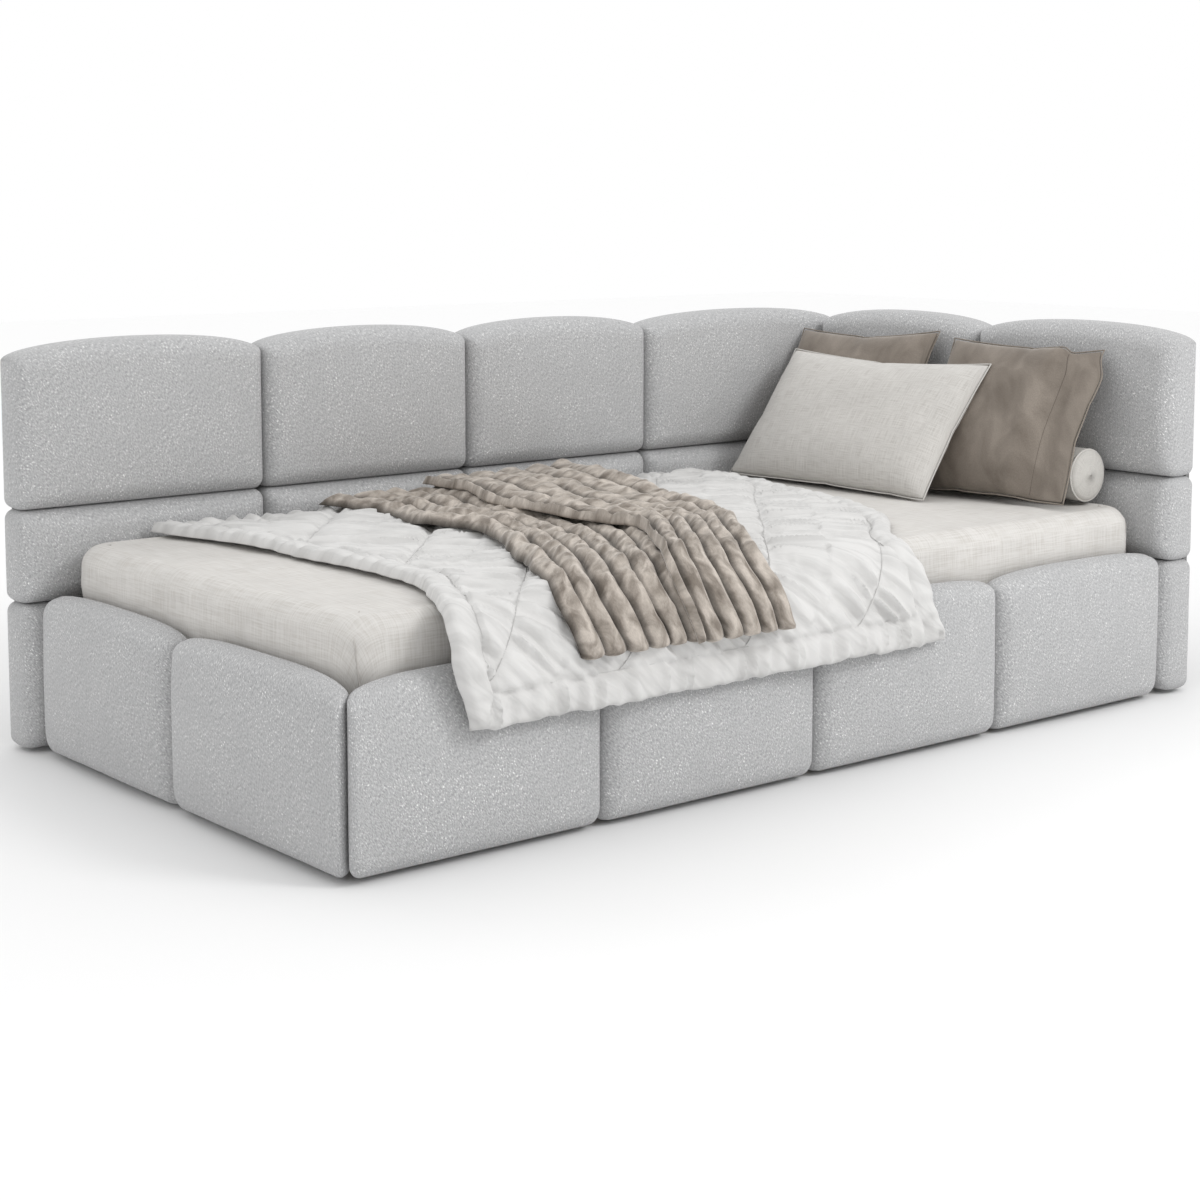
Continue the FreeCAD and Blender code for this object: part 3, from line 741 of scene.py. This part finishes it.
def seam_wander(x, run):
    """How far a quilting seam strays from its straight line."""
    return 0.006 * noise(x * 6, run * 6, QUILT_SEED)


def quilt_height(x, run):
    """Rise of the duvet over its underside: puffed diamonds, stitched grooves, and folds square to them."""
    p, q, wander, seed = QUILT_ACROSS, QUILT_DOWN, seam_wander(x, run), QUILT_SEED
    families = ((p * x + q * run + QUILT_START + wander, q * x - p * run, QUILT_PITCH),
                (p * x - q * run + CROSSING_START + wander, q * x + p * run, CROSSING_PITCH))
    puff, pucker, closeness = 1.0, 0.0, 0.0
    for k, (offset, along, pitch) in enumerate(families):
        nearest = np.round(offset / pitch)
        away = np.abs(offset - nearest * pitch)
        side = np.sign(offset - nearest * pitch)
        phase = nearest * 5.7 + side * 0.9 + k * 31
        puff = puff * (1 - np.exp(-(away / 0.019) ** 1.2))
        fold = noise(along * 46 + phase, nearest * 3.1 + side * 0.4 + away * 3, seed + 3 + k)
        fine = noise(along * 85 + phase, nearest * 2.3 + side * 1.4 + away * 8, seed + 5 + k)
        reach = np.exp(-away / (0.13, 0.05)[k]) * (1 - np.exp(-(away / 0.006) ** 2))
        near = (1.0, 0.3)[k] * np.exp(-away / (0.05, 0.02)[k]) + 1e-6
        pucker = pucker + (0.8 - np.abs(fold) * 2.6 + 0.5 * fine) * reach * near
        closeness = closeness + near
    pucker = pucker / closeness
    lumps = (0.0026 + 0.005 * smooth(0.35, 0.0, run)) * layered(x * 8, run * 8, seed + 9, 2)
    rise = 0.0052 + 0.0105 * puff + 0.0098 * pucker + lumps * (0.2 + 0.8 * puff)
    return np.clip(rise, 0.0015, 0.027)


def duvet_lift(x, run):
    """How far the duvet's underside stands off the line it follows."""
    waves = 0.004 * layered(x * 3.1, run * 3.4, 61)
    hang = smooth(0.0, 0.12, run - duvet_drape.run_at_z(0.395))
    flare = hang * (0.004 + 0.0035 * noise(x * 7, run * 3, 62))
    hem = smooth(0.09, 0.0, duvet_drape.run_at_z(HEM_Z) - run)
    frill = 0.0035 * hem * (1 + noise(x * 38, run * 5, 63))
    return np.maximum(waves * (1 - hang), -0.001) + flare + frill + 0.0015


def duvet_point(x, run, above):
    """Place of a point of the duvet, at a height above its underside."""
    y, z, ny, nz = duvet_drape.at(run)
    reach = duvet_lift(x, run) + above
    return np.stack(np.broadcast_arrays(x, y + ny * reach, z + nz * reach), -1)


def duvet_stitches():
    """Rows of quilting stitches: the slanting ones, and those along the gathered band."""
    end = duvet_drape.run_at_z(HEM_Z)
    wide = np.linspace(-1.0, 0.7, 500)
    lines = []
    for order in range(-6, 8):
        straight = order * QUILT_PITCH - QUILT_ACROSS * wide - QUILT_START
        run = straight / QUILT_DOWN
        for _ in range(6):  # the seam strays, so its line is closed in on
            run = (straight - seam_wander(wide, run)) / QUILT_DOWN
        lines.append((wide, run))
    hem_run = np.full(500, end - HEM_BAND)
    lines.append((wide, hem_run))
    sides = np.linspace(HEM_BAND, end - HEM_BAND, 300)
    left, right = duvet_edges(sides)
    lines += [(left + HEM_BAND, sides), (right - HEM_BAND, sides)]
    count = 0
    for x, run in lines:
        left, right = duvet_edges(np.clip(run, 0, end))
        inside = (run >= HEM_BAND - 0.001) & (run <= end - HEM_BAND + 0.001)
        inside &= (x - left >= HEM_BAND - 0.001) & (right - x >= HEM_BAND - 0.001)
        if inside.sum() < 12:
            continue
        count += 1
        along, down = x[inside], run[inside]
        points = duvet_point(along, down, duvet_height(along, down) + STITCH_LIFT)
        thin_tube("duvet_stitch_%d" % count, points, 0.0008, DUVET_STITCH, "duvet")


def duvet_height(x, run):
    """Thickness of the duvet: quilted in the middle, gathered in the band round its edge."""
    end = duvet_drape.run_at_z(HEM_Z)
    left, right = duvet_edges(run)
    from_left, from_right, from_hem = x - left, right - x, end - run
    from_edge = np.maximum(np.minimum(np.minimum(from_left, from_right), np.minimum(from_hem, run)), 0)
    band = 1 - smooth(HEM_BAND - 0.006, HEM_BAND + 0.004, from_edge)
    at_side = np.minimum(from_left, from_right) < np.minimum(from_hem, run)
    lengthwise = np.where(at_side, run, x)
    ruffle = 0.8 - np.abs(noise(lengthwise * 50, from_edge * 3, 51)) * 2.2
    ruffle = (ruffle + 0.35 * noise(lengthwise * 80, from_edge * 5, 52)) * np.where(at_side, 0.6, 1.15)
    swell = np.sin(np.clip(from_edge / HEM_BAND, 0, 1) * math.pi) ** 0.7
    gathered = 0.0065 + 0.007 * swell + 0.0050 * ruffle * (0.4 + swell)
    height = quilt_height(x, run) * (1 - band) + gathered * band
    height = height - 0.006 * np.exp(-((from_edge - HEM_BAND) / 0.004) ** 2)
    height = height + np.exp(-(np.maximum(from_left, 0) / 0.05) ** 2) * 0.010
    rim = np.sqrt(np.clip(1 - (1 - np.clip(from_edge / 0.011, 0, 1)) ** 2, 0.02, 1))
    return np.maximum(height, 0.002) * rim


def duvet():
    """Quilted duvet with a gathered band round its edge, laid back to front and hanging over the pads."""
    end = duvet_drape.run_at_z(HEM_Z)
    rows = int(end / 0.0060)
    columns = 224
    run = np.linspace(0, end, rows)[:, None] * np.ones(columns)
    left, right = duvet_edges(run)
    share = np.linspace(0, 1, columns)[None, :] * np.ones((rows, 1))
    x = left + (right - left) * share
    above = duvet_height(x, run)
    ripple = 0.0045 * noise(run * 34, share * 2, 41) * (smooth(0.93, 1, share) - 0.8 * smooth(0.07, 0, share))
    scallop = 0.0035 * noise(x * 46, share * 0, 42) * smooth(0.05, 0.0, end - run)
    upper = duvet_point(x + ripple, run + scallop, above)
    lower = duvet_point(x + ripple, run + scallop, 0.0)
    piece = cloth_solid("duvet_quilt", upper, lower, DUVET_COTTON, np.stack([x, run], -1))
    declare(piece, "duvet", "duvet")
    duvet_stitches()


# ---------------------------------------------------------------- folded channel-quilted throw

def throw():
    """Velvet throw in narrow padded channels; its right part is folded back over the left."""
    drape = Drape(DUVET_BACK_Y - 0.02, 0.021, PAD_FRONT_Y - 0.031)
    end = drape.run_at_z(0.318)
    knee = drape.run_at_z(0.40)
    keys = [0.0, 0.12, 0.36, 0.50, 0.78, 0.96, knee, end]
    rows = int(end / 0.0055)
    per_channel = 13
    total = THROW_CHANNELS + FOLD_CHANNELS
    lane = np.linspace(0, total, int(total * per_channel))[None, :] * np.ones((rows, 1))
    run = np.linspace(0, end, rows)[:, None] * np.ones(lane.shape[1])

    left = through(keys, [-0.480, -0.440, -0.483, -0.458, -0.562, -0.650, -0.684, -0.660], run)
    right = through(keys, [0.190, 0.160, 0.110, 0.070, -0.036, -0.175, -0.226, -0.190], run)
    fold = through(keys, [-0.228, -0.240, -0.282, -0.292, -0.280, -0.390, -0.450, -0.420], run)
    lower_share = np.clip(lane / THROW_CHANNELS, 0, 1)
    upper_share = np.clip((lane - THROW_CHANNELS) / FOLD_CHANNELS, 0, 1)
    on_top = smooth(-0.12, 0.12, lane - THROW_CHANNELS)
    x = (left + (right - left) * lower_share) * (1 - on_top) + (right + (fold - right) * upper_share) * on_top
    x = x + 0.0055 * noise(run * 13, lane * 0.55, 71) + 0.0022 * noise(run * 38, lane * 0.9, 72)
    x = x + 0.004 * noise(run * 4, np.floor(lane) * 1.7, 75)

    across = lane - np.floor(lane)
    puff = np.abs(np.sin(math.pi * across)) ** 0.7
    crease = layered(run * 34 + np.floor(lane) * 3.7, across * 1.6 + np.floor(lane) * 5.3, 73, 3)
    size = 1 + 0.18 * noise(run * 12, np.floor(lane) + 0.5, 74)
    height = 0.0195 * puff * size + 0.0050 * crease * puff + 0.0018
    ends = np.minimum(run, end - run)
    rim = np.sqrt(np.clip(1 - (1 - np.clip(ends / 0.010, 0, 1)) ** 2, 0.03, 1))
    side = np.minimum(lane, total - lane)
    rim = rim * np.sqrt(np.clip(1 - (1 - np.clip(side / 0.16, 0, 1)) ** 2, 0.03, 1))
    edge_roll = 1 + 0.5 * np.exp(-((total - lane) / 0.6) ** 2)
    height = height * edge_roll * rim
    scallop = 0.006 * (puff - 0.6) * smooth(0.05, 0.0, end - run)

    y, z, ny, nz = drape.at(run + scallop)
    slump = 0.006 * layered(x * 4, run * 5, 76)
    bed_lift = 0.0035 + np.maximum(slump, -0.002) * (1 - smooth(0, 0.1, run - knee))
    over = 0.0225 * smooth(-0.3, 0.35, lane - THROW_CHANNELS)
    lump = 0.004 * layered(x * 7, run * 6, 77) * on_top
    lower_lift = bed_lift + over + np.maximum(lump, -0.002)
    flip = np.cos(math.pi * smooth(-0.35, 0.35, lane - THROW_CHANNELS))
    middle = lower_lift + height / 2
    thick = height / 2 * np.where(np.abs(flip) < 0.3, 0.3 * np.sign(flip + 1e-9), flip)
    first, second = middle + thick, middle - thick
    upper = np.stack([x, y + ny * first, z + nz * first], -1)
    lower = np.stack([x, y + ny * second, z + nz * second], -1)
    uvs = np.stack([lane * THROW_CHANNEL, run], -1)
    piece = cloth_solid("throw_quilt", upper, lower, THROW_VELVET, uvs)
    declare(piece, "throw", "throw")


# ---------------------------------------------------------------- pillows

def inflate(name, width, tall, material, seed):
    """Two layers of cloth joined at the edge and blown up, then blended with an evenly plump shape.
    It lies in the plane of X (width) and Y (height), and its thickness along Z is brought to about 1.
    Gives the piece, its puffed points, and the numbers of the points on its border and in its front grid."""
    columns, rows = int(width / 0.0125) + 1, int(tall / 0.0125) + 1
    s, t = np.meshgrid(np.linspace(-1, 1, columns), np.linspace(-1, 1, rows))
    lift = 0.012 * (1 - s ** 2) * (1 - t ** 2)
    lift = lift + 0.0016 * layered(s * 4, t * 4, seed) * (1 - s ** 2) * (1 - t ** 2)
    x, y = s * width / 2, t * tall / 2
    number = np.arange(rows * columns).reshape(rows, columns)
    rim = np.zeros((rows, columns), bool)
    rim[0, :] = rim[-1, :] = rim[:, 0] = rim[:, -1] = True
    back_number = number.copy()
    back_number[~rim] = rows * columns + np.arange((~rim).sum())
    front = np.stack([x, y, lift], -1).reshape(-1, 3)
    back = np.stack([x, y, -lift], -1)[~rim]
    faces = []
    for i in range(rows - 1):
        faces += quad_strip(number[i], number[i + 1], False)
        faces += [tuple(reversed(quad)) for quad in quad_strip(back_number[i], back_number[i + 1], False)]
    uvs = np.concatenate([np.stack([x, y], -1).reshape(-1, 2), np.stack([x, y], -1)[~rim] + 1.3])
    piece = make_mesh(name, np.concatenate([front, back]), faces, material, uvs)
    cloth = piece.modifiers.new("cloth", "CLOTH")
    settings = cloth.settings
    settings.quality = 6
    settings.mass = 0.25
    settings.tension_stiffness = 18
    settings.compression_stiffness = 18
    settings.shear_stiffness = 8
    settings.bending_stiffness = 0.35
    settings.use_pressure = True
    settings.uniform_pressure_force = SIM_PRESSURE
    settings.effector_weights.gravity = 0
    cloth.collision_settings.use_collision = False
    scene.frame_start, scene.frame_end = 1, SIM_FRAMES
    for moment in range(1, SIM_FRAMES + 1):
        scene.frame_set(moment)
    ready = piece.evaluated_get(bpy.context.evaluated_depsgraph_get())
    points = np.zeros(len(piece.data.vertices) * 3)
    ready.data.vertices.foreach_get("co", points)
    piece.modifiers.remove(cloth)
    scene.frame_set(1)
    border = np.concatenate([number[0, :-1], number[:-1, -1], number[-1, :0:-1], number[:0:-1, 0]])
    points = points.reshape(-1, 3)
    span = points.max(0) - points.min(0)
    flat = np.concatenate([front, back])
    points[:, 0] = 0.15 * points[:, 0] / span[0] * width + 0.85 * flat[:, 0]
    points[:, 1] = 0.15 * points[:, 1] / span[1] * tall + 0.85 * flat[:, 1]
    s, t = flat[:, 0] / (width / 2), flat[:, 1] / (tall / 2)
    points[:, 1] -= 0.012 * (1 - s ** 2) * smooth(0.2, 1, t)
    points[:, 0] -= 0.007 * (1 - t ** 2) * s
    plump = 0.5 * ((1 - s ** 4) * (1 - t ** 4)) ** 0.62 * np.where(np.arange(len(flat)) < len(front), 1, -1)
    points[:, 2] = 0.4 * points[:, 2] / span[2] + 0.6 * plump
    return piece, points, border, number


def lean_pillow(node, width, tall, thick, lean, foot, middle_y, material, seed, seam_cloth,
                cuff=0.0, roll=0.0):
    """A pillow leaning back on its lower edge, in the place of its CAD solid. lean and roll are in degrees,
    foot is the place of its lower edge along X, and cuff the width of the loose cuff at its right side."""
    piece, points, border, grid = inflate(node + "_cushion", width, tall, material, seed)
    points[:, 2] *= thick
    seam_column = grid[:, np.argmin(np.abs(points[grid[0], 0] - (width / 2 - cuff)))]
    if cuff:
        points[:, 2] *= 1 - 0.12 * np.exp(-((points[:, 0] - width / 2 + cuff) / 0.012) ** 2)
        loose = smooth(width / 2 - cuff - 0.035, width / 2 - cuff + 0.02, points[:, 0])
        flat = 0.2 + 0.1 * noise(points[:, 1] * 9, points[:, 0] * 7, seed)
        points[:, 2] *= 1 - loose * (1 - flat)
        points[:, 2] += loose * (0.008 * np.sin(points[:, 1] * 14 + 1.0) - 0.004)
        high = points[:, 1].copy()
        points[:, 0] += loose * (0.014 * smooth(-0.06, 0.08, high) - 0.034 * smooth(0.09, 0.185, high))
        points[:, 1] -= 0.016 * loose * smooth(0.09, 0.185, high)
    tilt = math.radians(lean)
    turn = math.radians(roll)
    across = points[:, 0] * math.cos(turn) - points[:, 1] * math.sin(turn)
    along = points[:, 0] * math.sin(turn) + points[:, 1] * math.cos(turn)
    out = points[:, 2]
    along = along - along.min()
    x = foot + along * math.sin(tilt) - out * math.cos(tilt)
    z = BED_TOP + 0.002 + along * math.cos(tilt) + out * math.sin(tilt)
    y = middle_y - across
    z = z + np.clip(BED_TOP + 0.003 - z, 0, None)
    placed = np.column_stack([x, y, z])
    piece.data.vertices.foreach_set("co", placed.ravel())
    piece.data.update()
    more = piece.modifiers.new("finer", "SUBSURF")
    more.levels = more.render_levels = 1
    declare(piece, node, node)
    if cuff:
        sewn = placed[seam_column[1:-1]] + (0, 0, 0.0004)
        thin_tube(node + "_cuff_seam", sewn, 0.0010, DARK_THREAD, node)
    middle = placed.mean(0)
    rim = middle + (placed[border] - middle) * 0.996
    thin_tube(node + "_seam", rim, 0.0016, seam_cloth, node, closed=True)


def pillows():
    """The linen pillow in front, and the two velvet ones, of which the right one has a loose cuff."""
    low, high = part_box("pillow_white")
    lean_pillow("pillow_white", width=0.62, tall=0.36, thick=0.13, lean=37, foot=low.x + 0.035,
                middle_y=(low.y + high.y) / 2 + 0.012, material=PILLOW_LINEN, seed=81,
                seam_cloth=LINEN_SEAM)
    for side, seed, cuff in (("left", 91, 0.0), ("right", 95, 0.095)):
        node = "pillow_taupe_" + side
        low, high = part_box(node)
        lean_pillow(node, width=0.443, tall=0.38, thick=0.115, lean=29, foot=low.x + 0.022,
                    middle_y=(low.y + high.y) / 2, material=PILLOW_VELVET, seed=seed,
                    seam_cloth=VELVET_SEAM, cuff=cuff, roll=2.0)


def bolster():
    """Round bolster along the headboard, its ends gathered into a piped disc."""
    low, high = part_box("bolster")
    radius = (high.z - low.z) / 2
    centre = (low + high) / 2 - Vector((0.008, 0, 0))
    length = high.y - low.y
    steps = 72
    angle = np.linspace(0, 2 * math.pi, steps, endpoint=False)
    profile = [(0.02, -0.004), (0.45, -0.002), (0.80, 0.0), (0.93, 0.003), (0.985, 0.010), (1.0, 0.022)]
    stations = list(profile)
    stations += [(1.0 + 0.01 * math.sin(math.pi * k), length * k) for k in np.linspace(0.08, 0.92, 24)]
    stations += [(share, length - offset) for share, offset in reversed(profile)]
    rings, uvs = [], []
    for share, offset in stations:
        wrinkle = 1 + 0.012 * layered(angle * 3, offset * 14, 101) * min(1, share)
        reach = radius * 0.955 * share * wrinkle
        rings.append(np.column_stack([centre.x + reach * np.cos(angle), np.full(steps, low.y + offset),
                                      centre.z + reach * np.sin(angle)]))
        uvs.append(np.column_stack([angle * radius, np.full(steps, offset + (share - 1) * radius)]))
    faces = ring_faces(len(rings), steps)
    faces.append(tuple(range(steps - 1, -1, -1)))
    faces.append(tuple(range((len(rings) - 1) * steps, len(rings) * steps)))
    points = np.concatenate(rings)
    points[:, 2] = np.maximum(points[:, 2], BED_TOP + 0.002)
    piece = make_mesh("bolster_cushion", points, [tuple(reversed(f)) for f in faces], BOLSTER_COTTON,
                      np.concatenate(uvs))
    declare(piece, "bolster", "bolster")
    for index, y in enumerate((low.y + 0.007, high.y - 0.007)):
        ring = np.column_stack([centre.x + radius * 0.93 * np.cos(angle), np.full(steps, y),
                                centre.z + radius * 0.93 * np.sin(angle)])
        thin_tube("bolster_piping_%d" % (index + 1), ring, 0.0022, BOLSTER_SEAM, "bolster",
                  closed=True)


# ---------------------------------------------------------------- the frame's own pieces

def dress_frame():
    """Finishes for the CAD pieces that stay as they are."""
    lining = lining_cloth()
    timber_x = planed_wood("timber_long", (0.62, 0.46, 0.29), (0.42, 0.29, 0.17), 0)
    timber_y = planed_wood("timber_cross", (0.62, 0.46, 0.29), (0.42, 0.29, 0.17), 1)
    timber_z = planed_wood("timber_leg", (0.6, 0.45, 0.29), (0.4, 0.28, 0.17), 2)
    birch = planed_wood("slat_birch", (0.74, 0.6, 0.41), (0.56, 0.42, 0.26), 1)
    black = coated_metal("bracket_black", (0.05, 0.05, 0.052), 0.5, 0.0)
    steel = coated_metal("screw_steel", (0.62, 0.62, 0.6), 0.35, 1.0)
    plastic = coated_metal("glide_plastic", (0.03, 0.03, 0.03), 0.6, 0.0)
    chosen = {"back_board": lining, "head_board": lining, "front_rail": timber_x, "back_rail": timber_x,
              "foot_rail": timber_y, "head_rail": timber_y, "centre_beam": timber_x, "centre_legs": timber_z,
              "corner_brackets": black, "beam_hangers": black, "pad_screws": steel, "floor_glides": plastic}
    for name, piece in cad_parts.items():
        material = birch if name.startswith("slat_") else chosen.get(name)
        if material is not None:
            piece.data.materials.clear()
            piece.data.materials.append(material)


# ---------------------------------------------------------------- camera, light and floor

def studio():
    """Camera at the bed's open corner, soft light from above and both sides, and a pale floor with painted
    light: lighter away from its middle, darker round it.
    """
    camera = bpy.data.cameras.new("camera")
    camera.lens = 65.7
    camera.sensor_width = 36
    camera.shift_x = -0.003
    camera.shift_y = -0.15
    holder = bpy.data.objects.new("camera", camera)
    holder.location = (-2.870, -3.374, 1.080)
    holder.rotation_euler = Euler((math.pi / 2 - 0.1034, 0, -0.6873))
    scene.collection.objects.link(holder)
    scene.camera = holder

    pale = Finish("pale_floor", 0.9, specular=0.1)
    # painted light and shade: the floor's colour is darker round its middle, under the bed, and lighter
    # further out so the far floor is as bright as the white backdrop
    painted_light_spread = pale.node("TexGradient", gradient_type="SPHERICAL")
    pale.link(pale.mapped((0.2, 0.2, 0.2), 0, "Object"), painted_light_spread.inputs["Vector"])
    pale.colour(pale.ramp(painted_light_spread.outputs["Fac"], [(0.05, grey(0.98)), (0.75, grey(0.82))]))
    size = 14.0
    floor = make_mesh("floor", [(-size, -size, 0), (size, -size, 0), (size, size, 0), (-size, size, 0)],
                      [(0, 1, 2, 3)], pale.done())

    world = bpy.data.worlds.new("studio")
    world.use_nodes = True
    world.node_tree.nodes["Background"].inputs["Color"].default_value = (1.0, 1.0, 1.0, 1)
    world.node_tree.nodes["Background"].inputs["Strength"].default_value = 1.0
    scene.world = world

    def soft_light(name, place, aim, size, power):
        light = bpy.data.lights.new(name, "AREA")
        light.shape = "RECTANGLE"
        light.size, light.size_y = size
        light.energy = power
        lamp = bpy.data.objects.new(name, light)
        lamp.location = place
        lamp.rotation_euler = (Vector(aim) - Vector(place)).to_track_quat("-Z", "Y").to_euler()
        scene.collection.objects.link(lamp)

    soft_light("key", (1.2, -3.7, 3.15), (0, 0, 0.3), (1.5, 1.3), 68)
    soft_light("left", (-3.0, -0.9, 4.4), (0.8, 0, 0.5), (2.0, 2.0), 9)
    soft_light("back", (-0.6, 2.8, 3.4), (0, 0, 0.3), (2.4, 1.6), 14)
    scene.view_settings.view_transform = "Standard"


all_pads()
bed()
duvet()
throw()
pillows()
bolster()
dress_frame()
studio()
